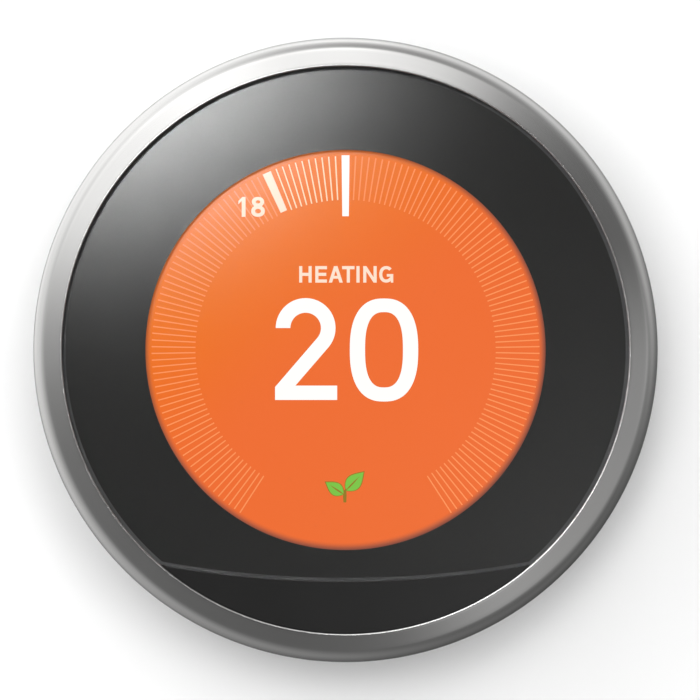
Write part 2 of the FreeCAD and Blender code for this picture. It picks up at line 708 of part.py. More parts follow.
def whole_face():
    """The domed disc that the lens and the sensor window are cut from."""
    crown = Part.makeSphere(crown_radius(), FreeCAD.Vector(0, crown_radius() - OVERALL_DEPTH, 0))
    face = disc(LENS_R, CHASSIS_FRONT, OVERALL_DEPTH + 1).common(crown)
    edge = [e for e in face.Edges
            if e.Vertexes and abs(e.Vertexes[0].Point.y + LENS_EDGE) < 0.01 and e.Length > 100]
    return face.makeFillet(0.12, edge[:1])


def seam_side(offset):
    """All that lies above the seam, moved down by an offset."""
    centre_z = SEAM_Z + SEAM_ARC_R
    return disc(SEAM_ARC_R + offset, 20, 40, 0, centre_z)


def face_lens():
    return whole_face().common(seam_side(-SEAM_GAP / 2))


def sensor_window():
    return whole_face().cut(seam_side(SEAM_GAP / 2))


# Ring ----------------------------------------------------------------------------------------

def round_corner(before, corner, after, radius):
    """The start, middle and end of the arc that rounds a corner of an outline."""
    back = (before - corner).normalize()
    ahead = (after - corner).normalize()
    half = back.getAngle(ahead) / 2
    reach = radius / math.tan(half)
    inwards = (back + ahead).normalize()
    middle = corner + inwards * (radius / math.sin(half) - radius)
    return corner + back * reach, middle, corner + ahead * reach


def outer_ring():
    """Steel ring: a flat bevel round the face, a rounded edge and a slightly tapered side."""
    lip = 0.17
    web_step = 1.4
    corner_depth = RING_LIP_FRONT - RING_BEVEL_SLOPE * (RING_CORNER_R - RING_LIP_R - lip)
    lip_top = spot(RING_LIP_R + lip, RING_LIP_FRONT)
    side_back = spot(RING_BACK_R, RING_BACK)
    bevel_end, round_middle, side_top = round_corner(
        lip_top, spot(RING_CORNER_R, corner_depth), side_back, RING_EDGE_ROUND)
    inside = [
        side_back,
        spot(RING_INNER_R, RING_BACK),
        spot(RING_INNER_R, RING_WEB_BACK - web_step),
        spot(RING_INNER_R - web_step, RING_WEB_BACK),
        spot(RING_LIP_R, RING_WEB_BACK),
        spot(RING_LIP_R, RING_LIP_FRONT - lip),
        lip_top,
        bevel_end,
    ]
    edges = [line(a, b) for a, b in zip(inside, inside[1:])]
    edges += [arc(bevel_end, round_middle, side_top), line(side_top, side_back)]
    return lathe(edges)


def ring_carrier():
    """Plastic hoop bonded inside the ring, whose bore runs on the glide rings."""
    bore = GLIDE_R + RUNNING_FIT
    return hoop(bore, RING_INNER_R, GLIDE_BACK + FLANGE + 0.1, GLIDE_FRONT - FLANGE - 0.1)


def pattern_band():
    """Finely slotted band inside the ring that the optical sensor counts."""
    band = hoop(RING_INNER_R - 0.3, RING_INNER_R, 13.9, 17.9)
    teeth = 90
    slots = [turned(block(RING_INNER_R - 1, RING_INNER_R - 0.12, -0.6, 0.6, 14.5, 17.3), 360 / teeth * n)
             for n in range(teeth)]
    return band.cut(slots)


def glide_rings():
    """Two slippery L-section rings on the chassis that carry the turning ring between their flanges."""
    rear = hoop(CHASSIS_R, GLIDE_R, GLIDE_BACK, GLIDE_SPLIT).fuse(
        hoop(CHASSIS_R, FLANGE_R, GLIDE_BACK, GLIDE_BACK + FLANGE)).removeSplitter()
    front = hoop(CHASSIS_R, GLIDE_R, GLIDE_SPLIT, GLIDE_FRONT).fuse(
        hoop(CHASSIS_R, FLANGE_R, GLIDE_FRONT - FLANGE, GLIDE_FRONT)).removeSplitter()
    return rear, front


def build_base():
    save("wall_plate", wall_plate())
    save("base_board", base_board())
    save("base_board_parts", *base_board_parts())
    save("base_cover", base_cover())
    save("base_screws", *base_screws())
    save("snap_springs", *snap_springs())
    number = 1
    for name, side in (("right", 1), ("left", -1)):
        save(f"terminal_block_{name}", terminal_block(side))
        save(f"clamp_springs_{name}", *clamp_springs(side))
        for z in terminal_rows():
            save(f"release_tab_{number:02d}", release_tab(side, z))
            number += 1
    save("level_vial", level_vial())
    save("level_fluid", level_fluid())
    save("level_cradle", level_cradle())
    save("base_socket", base_socket())
    save("socket_contacts", *socket_contacts())


def build_rear_housing():
    save("rear_cover", rear_cover())
    save("link_board", link_board())
    save("display_plug", display_plug())
    save("plug_contacts", *plug_contacts())
    save("usb_shell", usb_shell())
    save("usb_tongue", usb_tongue())
    save("climate_sensor", climate_sensor())
    save("switch_plunger", switch_plunger())
    save("head_springs", *head_springs())


def build_head():
    save("chassis", chassis())
    save("shoulder_screws", *shoulder_screws())
    save("main_board", main_board())
    save("board_screws", *board_screws())
    save("main_board_chips", *main_board_chips())
    save("shield_cans", *shield_cans())
    save("battery_cell", battery_cell())
    save("battery_lead", battery_lead())
    save("click_switch", click_switch())
    save("speaker", speaker())
    save("ring_reader", ring_reader())
    save("link_flex", link_flex())
    save("backlight_frame", backlight_frame())
    save("light_guide", light_guide())
    save("display_panel", display_panel())
    save("display_flex", display_flex())
    save("motion_sensors", *motion_sensors())
    save("motion_lens", motion_lens())
    save("face_lens", face_lens())
    save("sensor_window", sensor_window())
    rear, front = glide_rings()
    save("glide_ring_rear", rear)
    save("glide_ring_front", front)


def build_ring():
    save("outer_ring", outer_ring())
    save("ring_carrier", ring_carrier())
    save("pattern_band", pattern_band())


os.makedirs("parts", exist_ok=True)
build_base()
build_rear_housing()
build_head()
build_ring()
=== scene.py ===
import math

import bmesh
import bpy
from mathutils import Matrix, Vector
from mathutils.geometry import tessellate_polygon


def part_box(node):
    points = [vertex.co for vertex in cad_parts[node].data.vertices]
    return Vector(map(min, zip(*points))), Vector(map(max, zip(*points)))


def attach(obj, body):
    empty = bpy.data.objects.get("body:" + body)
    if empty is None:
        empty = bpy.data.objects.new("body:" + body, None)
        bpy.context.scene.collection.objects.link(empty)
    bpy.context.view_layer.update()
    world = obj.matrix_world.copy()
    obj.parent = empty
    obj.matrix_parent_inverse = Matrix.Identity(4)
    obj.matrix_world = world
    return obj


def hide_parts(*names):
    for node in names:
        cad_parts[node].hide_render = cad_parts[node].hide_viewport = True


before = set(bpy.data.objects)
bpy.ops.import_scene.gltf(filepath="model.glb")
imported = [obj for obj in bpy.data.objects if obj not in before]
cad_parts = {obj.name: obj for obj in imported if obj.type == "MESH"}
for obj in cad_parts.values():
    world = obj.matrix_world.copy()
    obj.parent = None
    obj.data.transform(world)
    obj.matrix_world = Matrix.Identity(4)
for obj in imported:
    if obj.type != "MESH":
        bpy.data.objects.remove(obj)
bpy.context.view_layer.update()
scene = bpy.context.scene
MM = 0.001


# Camera -----------------------------------------------------------------------------------------
# It looks straight at the face on a long lens, level with the middle and a hair to the right of it.
# Colours are shown as they are, with no film curve laid over them.

LONG_LENS = 200.0
SENSOR = 36.0
SEEN_WIDTH = 0.0942             # how much is seen across, where the steel ring is widest
WIDEST_DEPTH = 0.0267           # how far that is from the wall
STANDS_RIGHT = 0.0006
camera_data = bpy.data.cameras.new("camera")
camera_data.lens = LONG_LENS
camera_data.sensor_width = SENSOR
camera_data.clip_end = 50.0     # metres, past the far end of the wall
camera = bpy.data.objects.new("camera", camera_data)
camera.location = (STANDS_RIGHT, -WIDEST_DEPTH - SEEN_WIDTH * LONG_LENS / SENSOR, 0.0)
camera.rotation_euler = (math.radians(90), 0, 0)
scene.collection.objects.link(camera)
scene.camera = camera
scene.view_settings.view_transform = "Standard"


# Room: light ------------------------------------------------------------------------------------
# A studio with soft lights all round, which the steel ring mirrors, three small ones near the
# camera, which the black face mirrors, and five soft lamps that light the wall.

class Signal:
    """The output socket of a node. Arithmetic on it adds Math nodes to the same tree."""

    def __init__(self, wiring, socket):
        self.wiring = wiring
        self.socket = socket

    def math(self, operation, first, second=0.0, third=0.0):
        return self.wiring.add("ShaderNodeMath", {"operation": operation}, {0: first, 1: second, 2: third})

    def __add__(self, other):
        return self.math("ADD", self, other)

    __radd__ = __add__

    def __sub__(self, other):
        return self.math("SUBTRACT", self, other)

    def __rsub__(self, other):
        return self.math("SUBTRACT", other, self)

    def __mul__(self, other):
        return self.math("MULTIPLY", self, other)

    __rmul__ = __mul__

    def __truediv__(self, other):
        return self.math("DIVIDE", self, other)

    def __gt__(self, other):
        return self.math("GREATER_THAN", self, other)

    def __lt__(self, other):
        return self.math("LESS_THAN", self, other)

    def __abs__(self):
        return self.math("ABSOLUTE", self)


class Wiring:
    """A node tree being built."""

    def __init__(self, tree):
        self.tree = tree

    def add(self, kind, settings=None, sockets=None, output=0):
        """Adds one node: its settings first, then the value or link of each socket named."""
        node = self.tree.nodes.new(kind)
        for name, value in (settings or {}).items():
            if name == "stops":
                ramp = node.color_ramp
                while len(ramp.elements) < len(value):
                    ramp.elements.new(1.0)
                for element, (position, colour) in zip(ramp.elements, value):
                    element.position = position
                    element.color = (*colour, 1.0)
            else:
                setattr(node, name, value)
        for name, value in (sockets or {}).items():
            if isinstance(value, Signal):
                self.tree.links.new(value.socket, node.inputs[name])
            else:
                node.inputs[name].default_value = value
        return Signal(self, node.outputs[output]) if len(node.outputs) else None

    def vector(self, x, y, z):
        return self.add("ShaderNodeCombineXYZ", None, {0: x, 1: y, 2: z})

    def tint(self, share, first, second):
        """Goes from the first colour to the second as share goes from 0 to 1."""
        first, second = [(*c, 1.0) if isinstance(c, tuple) else c for c in (first, second)]
        return self.add("ShaderNodeMix", {"data_type": "RGBA"}, {0: share, 6: first, 7: second}, output=2)

    def higher(self, first, second):
        """The larger of two signals."""
        return self.add("ShaderNodeMath", {"operation": "MAXIMUM"}, {0: first, 1: second})

    def between(self, signal, low, high):
        """Rises smoothly from 0 to 1 as the signal goes from low to high."""
        return self.add("ShaderNodeMapRange", {"interpolation_type": "SMOOTHSTEP"}, {
            "Value": signal, "From Min": low, "From Max": high, "To Min": 0.0, "To Max": 1.0})


def bearing(clock, off_axis):
    """A direction seen from the front: counter-clockwise from the right, and off the camera's axis."""
    turn = math.radians(clock)
    off = math.radians(off_axis)
    return Vector((math.cos(turn) * math.sin(off), -math.cos(off), math.sin(turn) * math.sin(off)))


ROOM_GLOW = 0.072
SOFT_BOXES = [
    # clock, off axis, tightness, brightness
    (132.2, 13.1, 260, 15.1),
    (110.6, 12.5, 250, 9.65),
    (320.5, 12.6, 93, 0.41),
    (90, 52, 131, 1.33),
    (135, 86, 5, 1.15),
    (120, 52, 33, 1.11),
    (75, 44, 67, 0.91),
    (120, 130, 9, 0.86),
    (150, 44, 33, 0.79),
    (60, 112, 5, 0.76),
    (105, 44, 33, 0.66),
    (195, 112, 5, 0.61),
    (90, 112, 33, 0.53),
    (300, 36, 67, 0.51),
    (165, 130, 17, 0.44),
    (15, 86, 9, 0.34),
    (330, 44, 17, 0.31),
    (0, 52, 67, 0.27),
    (180, 74, 9, 0.23),
    (255, 86, 5, 0.19),
    (60, 52, 33, 0.18),
    (225, 74, 17, 0.13),
    (315, 98, 9, 0.07),
]
PALE_ROOM = (0.86, 0.86, 0.86)
world = bpy.data.worlds.new("studio")
scene.world = world
world.use_nodes = True
world.node_tree.nodes.clear()
studio = Wiring(world.node_tree)
outward = studio.add("ShaderNodeTexCoord", output=0)
glow = ROOM_GLOW
for clock, off_axis, tightness, brightness in SOFT_BOXES:
    facing = studio.add("ShaderNodeVectorMath", {"operation": "DOT_PRODUCT"},
                        {0: outward, 1: bearing(clock, off_axis)}, output=1)
    glow = glow + brightness * facing.math("EXPONENT", tightness * (facing - 1.0))
glow_grey = studio.vector(glow, glow, glow)
seen = studio.add("ShaderNodeLightPath", output=0)
backdrop = studio.tint(seen, glow_grey, PALE_ROOM)
background = studio.add("ShaderNodeBackground", None, {"Color": backdrop})
studio.add("ShaderNodeOutputWorld", None, {"Surface": background})

WALL_LAMPS = [
    # clock, off axis, width seen, energy
    (30, 13, 16, 0.65),
    (60, 20, 16, 0.32),
    (90, 20, 16, 0.27),
    (150, 18, 28, 0.37),
    (205, 13, 16, 0.55),
]
for number, (clock, off_axis, width, energy) in enumerate(WALL_LAMPS, 1):
    lamp_data = bpy.data.lights.new(f"wall_lamp_{number}", "SUN")
    lamp_data.energy = energy
    lamp_data.angle = math.radians(width)
    lamp = bpy.data.objects.new(f"wall_lamp_{number}", lamp_data)
    lamp.rotation_mode = "QUATERNION"
    lamp.rotation_quaternion = bearing(clock, off_axis).to_track_quat("Z", "Y")
    lamp.visible_glossy = False
    lamp.visible_transmission = False
    scene.collection.objects.link(lamp)


# Room: wall and floor ---------------------------------------------------------------------------
# A white painted wall that the base is screwed to, and a plain pale floor. Both are seen from
# their front only, so that the object's back can be looked at, and neither is mirrored in it.

def stage_sheet(name, corners, tone):
    mesh = bpy.data.meshes.new(name)
    mesh.from_pydata(corners, [], [(0, 1, 2, 3)])
    sheet = bpy.data.objects.new(name, mesh)
    scene.collection.objects.link(sheet)
    material = bpy.data.materials.new(name)
    material.use_nodes = True
    material.node_tree.nodes.clear()
    paint = Wiring(material.node_tree)
    matt = paint.add("ShaderNodeBsdfDiffuse", None, {"Color": (*tone, 1.0)})
    nothing = paint.add("ShaderNodeBsdfTransparent")
    behind = paint.add("ShaderNodeNewGeometry", output=6)
    shown = paint.add("ShaderNodeMixShader", None, {0: behind, 1: matt, 2: nothing})
    paint.add("ShaderNodeOutputMaterial", None, {"Surface": shown})
    mesh.materials.append(material)
    for ray in ("diffuse", "glossy", "transmission", "shadow"):
        setattr(sheet, f"visible_{ray}", False)


REACH = 5.0
FLOOR_Z = -0.25
WALL_Y = 0.0002
stage_sheet("wall", [(-REACH, WALL_Y, FLOOR_Z), (REACH, WALL_Y, FLOOR_Z),
                     (REACH, WALL_Y, REACH), (-REACH, WALL_Y, REACH)], (0.85, 0.85, 0.85))
stage_sheet("floor", [(-REACH, -REACH, FLOOR_Z), (REACH, -REACH, FLOOR_Z),
                      (REACH, REACH, FLOOR_Z), (-REACH, REACH, FLOOR_Z)], (0.8, 0.8, 0.79))


# Base: moulded parts ----------------------------------------------------------------------------
# The wall plate and the front cover are moulded from warm white polycarbonate in tools with a fine
# spark texture, and the rear housing and other covers from black. They come from the frame.

class Finish(Wiring):
    """A material being built, with the place on the piece, in metres, to hang patterns on."""

    def __init__(self, name):
        self.material = bpy.data.materials.new(name)
        self.material.use_nodes = True
        super().__init__(self.material.node_tree)
        self.tree.nodes.clear()
        self.place = self.add("ShaderNodeTexCoord", output=3)

    def along(self, axis):
        return self.add("ShaderNodeSeparateXYZ", None, {0: self.place}, output="XYZ".index(axis))

    def wave(self, axis, rate):
        """A sine from -1 to 1 along one axis, at so many radians a metre."""
        return self.add("ShaderNodeMath", {"operation": "SINE"}, {0: self.along(axis) * rate})

    def from_axis(self, x, z):
        """How far a point is from the axis of the face."""
        return self.add("ShaderNodeMath", {"operation": "SQRT"}, {0: x * x + z * z})

    def noise(self, size, detail=2.0, place=None, roughness=0.5):
        """Cloudy pattern from 0 to 1 with patches about this size, in metres."""
        return self.add("ShaderNodeTexNoise", None, {
            "Vector": place or self.place, "Scale": 1.0 / size, "Detail": detail, "Roughness": roughness})

    def cells(self, size, feature="F1", metric="EUCLIDEAN", place=None):
        """Distance within scattered cells of about this size, in metres."""
        settings = {"feature": feature}
        if feature != "DISTANCE_TO_EDGE":
            settings["distance"] = metric
        return self.add("ShaderNodeTexVoronoi", settings, {
            "Vector": place or self.place, "Scale": 1.0 / size})

    def shade(self, sockets, height=None, relief=0.0):
        """Closes the material with one shader. height, 0 to 1, stands relief metres high."""
        if height is not None:
            bump = self.add("ShaderNodeBump", None, {"Height": height, "Distance": relief})
            sockets = {**sockets, "Normal": bump}
        shader = self.add("ShaderNodeBsdfPrincipled", None, sockets)
        self.add("ShaderNodeOutputMaterial", None, {"Surface": shader})
        return self.material


def moulded(name, tone, roughness, grain=0.00028, relief=9e-6, mottle=0.05):
    """Plastic with its tool's spark texture, and slight flow marks in its tone and shine."""
    finish = Finish(name)
    spark = finish.noise(grain, detail=3.0)
    flow = finish.noise(0.011, detail=2.0)
    darker = tuple(c * (1 - mottle) for c in tone)
    lighter = tuple(c * (1 + mottle) for c in tone)
    return finish.shade({
        "Base Color": finish.tint(flow, darker, lighter),
        "Roughness": roughness + (spark - 0.5) * 0.18 + (flow - 0.5) * 0.1,
    }, spark, relief)


def coat(material, *names):
    """Gives frame nodes their finish."""
    for name in names:
        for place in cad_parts[name].material_slots:
            place.material = material


coat(moulded("warm_white_polycarbonate", (0.80, 0.80, 0.775), 0.46), "wall_plate", "base_cover")
coat(moulded("black_polycarbonate", (0.030, 0.030, 0.032), 0.42), "rear_cover")
coat(moulded("black_plastic", (0.024, 0.024, 0.025), 0.38, grain=0.0002, relief=5e-6),
     "level_cradle", "base_socket", "display_plug", "usb_tongue", "chassis", "motion_lens",
     "switch_plunger", "click_switch")
coat(moulded("natural_acetal", (0.80, 0.79, 0.73), 0.34, grain=0.0004, relief=3e-6),
     "glide_ring_rear", "glide_ring_front", "ring_carrier")


# Base: terminals --------------------------------------------------------------------------------
# Two blocks of dark glass-filled nylon with five push-in terminals each. White tabs open the bent
# leaf that grips each wire.

def glass_filled(name, tone):
    """Nylon whose short glass fibres show as faint pale flecks that run with the flow."""
    finish = Finish(name)
    fibre_place = finish.vector(finish.along("X") * 0.3, finish.along("Y"), finish.along("Z"))
    fibres = finish.noise(0.00012, detail=4.0, place=fibre_place, roughness=0.7)
    flecks = finish.add("ShaderNodeValToRGB", {"stops": [(0.56, (0, 0, 0)), (0.72, (1, 1, 1))]}, {0: fibres})
    pale = tuple(c * 2.1 for c in tone)
    return finish.shade({
        "Base Color": finish.tint(flecks, tone, pale),
        "Roughness": 0.5 + 0.2 * (fibres - 0.5),
    }, fibres, 6e-6)


coat(glass_filled("dark_nylon", (0.085, 0.087, 0.092)), "terminal_block_right", "terminal_block_left")
coat(moulded("tab_nylon", (0.80, 0.80, 0.78), 0.36, grain=0.00035, relief=4e-6, mottle=0.03),
     *[f"release_tab_{number:02d}" for number in range(1, 11)])


# Metal parts ------------------------------------------------------------------------------------
# Springs, screws, cans and trays, each rolled, drawn or plated, so each shows fine lines from the
# mill or the die and a few light scratches.

def milled(name, tone, roughness, line_axis="X", warm=0.04):
    """Metal with drawing lines along one axis, cloudy haze and stray scratches."""
    line_width = 0.00006
    line_relief = 1.2e-6
    finish = Finish(name)
    spread = {axis: finish.along(axis) * (0.03 if axis == line_axis else 1.0) for axis in "XYZ"}
    lines = finish.noise(line_width, detail=3.0, place=finish.vector(*spread.values()))
    cloud = finish.noise(0.004, detail=3.0)
    scratches = finish.cells(0.0016, "DISTANCE_TO_EDGE") < 0.012
    lighter = tuple(min(1.0, c * (1 + warm)) for c in tone)
    darker = tuple(c * (1 - warm) for c in tone)
    return finish.shade({
        "Base Color": finish.tint(cloud, darker, lighter),
        "Metallic": 1.0,
        "Roughness": roughness + (lines - 0.5) * 0.16 + (cloud - 0.5) * 0.07 + scratches * 0.05,
    }, lines, line_relief)


coat(milled("zinc_plated_screw", (0.62, 0.62, 0.60), 0.30, "Y"),
     "base_screws", "board_screws", "shoulder_screws")
coat(milled("spring_strip", (0.64, 0.63, 0.60), 0.26, "Z"),
     "snap_springs", "clamp_springs_right", "clamp_springs_left", "head_springs")
coat(milled("nickel_shell", (0.72, 0.71, 0.68), 0.22, "X"), "usb_shell", "shield_cans", "motion_sensors")
coat(milled("gold_flash", (0.86, 0.64, 0.26), 0.24, "Y"), "socket_contacts", "plug_contacts")
coat(milled("piezo_brass", (0.78, 0.58, 0.27), 0.30, "Z", warm=0.08), "speaker")
coat(milled("tray_steel", (0.66, 0.66, 0.65), 0.34, "X"), "backlight_frame")


def slotted_strip(name):
    """Etched steel strip: dark matt slots between bright bars."""
    finish = Finish(name)
    rolled = finish.noise(0.00008, detail=2.0, place=finish.vector(
        finish.along("X"), finish.along("Y") * 0.05, finish.along("Z")))
    stain = finish.noise(0.002, detail=2.0)
    return finish.shade({
        "Base Color": finish.tint(stain, (0.36, 0.36, 0.37), (0.46, 0.46, 0.45)),
        "Metallic": 1.0,
        "Roughness": 0.3 + 0.2 * (rolled - 0.5),
    }, rolled, 1e-6)


coat(slotted_strip("etched_strip"), "pattern_band")


# Circuit boards ---------------------------------------------------------------------------------
# Glass-epoxy boards under green solder mask: copper tracks show through as slightly raised, paler
# lines, with small tinned vias. The flat cables are copper tracks between amber films.

def solder_masked(name):
    finish = Finish(name)
    flat = finish.vector(finish.along("X"), 0.0, finish.along("Z"))
    tracks = finish.cells(0.0031, "F1", "MANHATTAN", flat) - finish.cells(0.0031, "F1", "CHEBYCHEV", flat)
    track = abs(tracks * 9.0 - 1.6) < 0.5
    fine = finish.cells(0.0013, "DISTANCE_TO_EDGE", place=flat) < 0.05
    copper = finish.higher(track, fine)
    via = finish.cells(0.0029, place=flat) < 0.10
    weave = finish.noise(0.0003, detail=1.0)
    masked = finish.tint(copper, (0.010, 0.085, 0.032), (0.022, 0.165, 0.060))
    return finish.shade({
        "Base Color": finish.tint(via, masked, (0.62, 0.60, 0.52)),
        "Metallic": via,
        "Roughness": 0.30 + 0.12 * weave,
    }, copper + 0.2 * weave, 2.2e-5)


coat(solder_masked("green_solder_mask"), "base_board", "main_board", "link_board", "climate_sensor")


def moulded_package(name):
    """Black epoxy chip with a dull laser-cleaned patch."""
    finish = Finish(name)
    dust = finish.noise(0.00016, detail=3.0)
    sheen = finish.noise(0.0024, detail=1.0)
    return finish.shade({
        "Base Color": finish.tint(sheen, (0.022, 0.022, 0.025), (0.046, 0.046, 0.050)),
        "Roughness": 0.46 + 0.22 * (dust - 0.5),
    }, dust, 7e-6)


coat(moulded_package("chip_epoxy"), "base_board_parts", "main_board_chips")


def flat_cable(name):
    """Amber film with the copper lanes showing through it."""
    finish = Finish(name)
    lane_rate = 9000.0                     # radians a metre: a lane every 0.7 mm
    lane_x = finish.wave("X", lane_rate) > 0.1
    lane_z = finish.wave("Z", lane_rate) > 0.1
    film = finish.noise(0.0012, detail=2.0)
    lanes = finish.tint(lane_x * lane_z, (0.42, 0.17, 0.022), (0.60, 0.30, 0.055))
    return finish.shade({
        "Base Color": finish.tint(film * 0.4, lanes, (0.30, 0.12, 0.02)),
        "Roughness": 0.22 + 0.1 * film,
    }, lane_x * lane_z, 9e-6)


coat(flat_cable("amber_film"), "link_flex", "display_flex")


# Level and battery ------------------------------------------------------------------------------
# The bubble level is a clear acrylic tube of yellow-green spirit. The battery is a flat cell in a
# crimped aluminised pouch, with a red two-wire lead.

def clear_part(name, tone, ior, roughness):
    """Clear plastic or liquid, with the faint haze of its moulding."""
    finish = Finish(name)
    haze = finish.noise(0.0015, detail=2.0)
    return finish.shade({
        "Base Color": finish.tint(haze, tone, tuple(min(1.0, c * 1.05) for c in tone)),
        "Transmission Weight": 1.0,
        "IOR": ior,
        "Roughness": roughness + 0.03 * haze,
    })


coat(clear_part("clear_acrylic", (0.93, 0.96, 0.94), 1.49, 0.01), "level_vial")
coat(clear_part("level_spirit", (0.60, 0.88, 0.10), 1.36, 0.0), "level_fluid")
for name in ("level_vial", "level_fluid"):
    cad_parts[name].visible_shadow = False


def pouch(name):
    finish = Finish(name)
    wrinkle = finish.noise(0.0021, detail=4.0, roughness=0.62)
    crimp = finish.wave("Z", 7000.0)
    edge = abs(finish.along("X")) > 0.0125
    return finish.shade({
        "Base Color": finish.tint(wrinkle, (0.50, 0.51, 0.53), (0.64, 0.65, 0.66)),
        "Metallic": 0.85,
        "Roughness": 0.30 + 0.2 * (wrinkle - 0.5),
    }, wrinkle + 0.25 * edge * crimp, 6e-5)


coat(pouch("aluminised_pouch"), "battery_cell")
coat(moulded("red_insulation", (0.46, 0.022, 0.014), 0.34, grain=0.0006, relief=4e-6), "battery_lead")
coat(moulded("sensor_plastic", (0.010, 0.009, 0.012), 0.12, grain=0.0008, relief=1e-6), "ring_reader")
coat(moulded("light_guide_acrylic", (0.86, 0.87, 0.85), 0.16, grain=0.0009, relief=2e-6), "light_guide")


# Display: lit field -----------------------------------------------------------------------------
# A round colour panel, lit from behind, shows an even orange field of fine square dots that dims at
# its rim, partly as the panel's own fade and partly as painted shade, more to the lower right. Towards
# the upper left its orange is painted yellower, to go with the room's sheen there. It lies a little
# behind the clear domed lens, and here it carries the lens's gloss.

lens_low, lens_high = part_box("face_lens")
LENS_R = lens_high.x
MASK_ROOM = 0.04 * MM                   # left behind the lens for its printed mask
LENS_BACK = -lens_high.y + MASK_ROOM
CROWN = -lens_low.y
LENS_EDGE = 29.9 * MM                   # how far from the wall the dome starts, at its rim
DOME_R = (LENS_R ** 2 + (CROWN - LENS_EDGE) ** 2) / (2 * (CROWN - LENS_EDGE))


class UnderLens(Finish):
    """A finish seen through the lens. It mirrors the room in its stead, as its domed front would."""

    def gloss(self):
        across = self.vector(self.along("X"), -DOME_R, self.along("Z"))
        dome = self.add("ShaderNodeVectorMath", {"operation": "NORMALIZE"}, {0: across})
        haze = self.noise(0.006, detail=3.0)
        return {"IOR": 1.5, "Roughness": 0.025 + 0.02 * haze, "Normal": dome}


PANEL_GLOW = 1.06
RIM_STARTS = 25.95 * MM
RIM_ENDS = 27.25 * MM
# The fade at the rim is set off down and to the right: painted shade, as the mask's edge would cast in light
# from the upper left.
RIM_SHADE_SHIFT = 0.12 * MM                   # the lit circle is a hair up and to the left
DOT_PITCH = 0.165 * MM
DOT_SHARE = 0.94                        # of a pitch that is lit
DOTS_ASIDE = 400.0                      # added to keep the count above zero
BLACK = (0.0, 0.0, 0.0, 1.0)


def lit_field(name):
    finish = UnderLens(name)
    x = finish.along("X")
    z = finish.along("Z")
    # The rim fade is partly the panel's own and partly painted shade; its centre is moved up and left so it
    # is deeper to the lower right.
    out = finish.from_axis(x + RIM_SHADE_SHIFT, z - RIM_SHADE_SHIFT)
    rim = finish.between(out, RIM_STARTS, RIM_ENDS)
    # Painted light: towards the upper left the field's orange is shifted yellower, to go with the room's
    # sheen that the lens mirrors there.
    sheen_allowance = finish.between(0.8 * z - 0.6 * x, -0.002, 0.024)
    column = finish.add("ShaderNodeMath", {"operation": "FRACT"}, {0: x / DOT_PITCH + DOTS_ASIDE})
    row = finish.add("ShaderNodeMath", {"operation": "FRACT"}, {0: z / DOT_PITCH + DOTS_ASIDE})
    gap = finish.higher(column > DOT_SHARE, row > DOT_SHARE)
    cloud = finish.noise(0.020, detail=1.0)
    orange = finish.tint(sheen_allowance, (0.850, 0.154, 0.034), (0.830, 0.170, 0.001))
    uneven = finish.tint(cloud * 0.12, orange, (0.76, 0.15, 0.028))
    dotted = finish.tint(gap * 0.25, uneven, (0.72, 0.11, 0.020))
    return finish.shade({
        **finish.gloss(),
        "Base Color": BLACK,
        "Emission Color": finish.tint(rim * 0.8, dotted, (0.02, 0.05, 0.06)),
        "Emission Strength": PANEL_GLOW,
    })


coat(lit_field("orange_field"), "display_panel")
PANEL_FRONT = -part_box("display_panel")[0].y


# Display: scale ---------------------------------------------------------------------------------
# Fine radial marks round the lit field, one every two degrees. Ten of them, between the wanted and
# the present warmth, are lit brighter.

def node_group(name, inputs):
    """An empty node group with these inputs: name to socket type."""
    group = bpy.data.node_groups.new(name, "GeometryNodeTree")
    group.interface.new_socket("Geometry", in_out="INPUT", socket_type="NodeSocketGeometry")
    for label, kind in inputs.items():
        group.interface.new_socket(label, in_out="INPUT", socket_type=f"NodeSocket{kind}")
    group.interface.new_socket("Geometry", in_out="OUTPUT", socket_type="NodeSocketGeometry")
    making = Wiring(group)
    entry = group.nodes.new("NodeGroupInput")
    given = {socket.name: Signal(making, socket) for socket in entry.outputs if socket.name}
    return group, making, given


def made_by_nodes(name, group, values, start=None):
    """Runs a node group once and keeps what it makes as the object's plain mesh."""
    part = bpy.data.objects.new(name, start or bpy.data.meshes.new(name))
    scene.collection.objects.link(part)
    modifier = part.modifiers.new(name, "NODES")
    modifier.node_group = group
    for item in group.interface.items_tree:
        if item.in_out == "INPUT" and item.name in values:
            modifier[item.identifier] = values[item.name]
    view = bpy.context.evaluated_depsgraph_get()
    made = bpy.data.meshes.new_from_object(part.evaluated_get(view), depsgraph=view)
    part.modifiers.remove(modifier)
    part.data = made
    made.name = name
    return part


def fit(part, body, slot, *stands_for):
    """Fixes a made piece to a body and hides the frame nodes that it stands for. The slot is not used."""
    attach(part, body)
    if stands_for:
        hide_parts(*stands_for)


scale_group, making, given = node_group("scale_marks", {
    "Count": "Int", "First Angle": "Float", "Step": "Float", "Inner": "Float", "Outer": "Float",
    "Width": "Float", "Thickness": "Float", "Depth": "Float", "Ink": "Material"})
middle = (given["Inner"] + given["Outer"]) * 0.5
bar = making.add("GeometryNodeMeshCube", None, {
    "Size": making.vector(given["Width"], given["Thickness"], given["Outer"] - given["Inner"])})
placed = making.add("GeometryNodeTransform", None, {
    "Geometry": bar, "Translation": making.vector(0.0, 0.0 - given["Depth"], middle)})
points = making.add("GeometryNodePoints", None, {"Count": given["Count"]})
turn = given["First Angle"] + given["Step"] * making.add("GeometryNodeInputIndex")
marks = making.add("GeometryNodeInstanceOnPoints", None, {
    "Points": points, "Instance": placed, "Rotation": making.vector(0.0, turn, 0.0)})
real = making.add("GeometryNodeRealizeInstances", None, {"Geometry": marks})
inked = making.add("GeometryNodeSetMaterial", None, {"Geometry": real, "Material": given["Ink"]})
making.add("NodeGroupOutput", None, {0: inked})


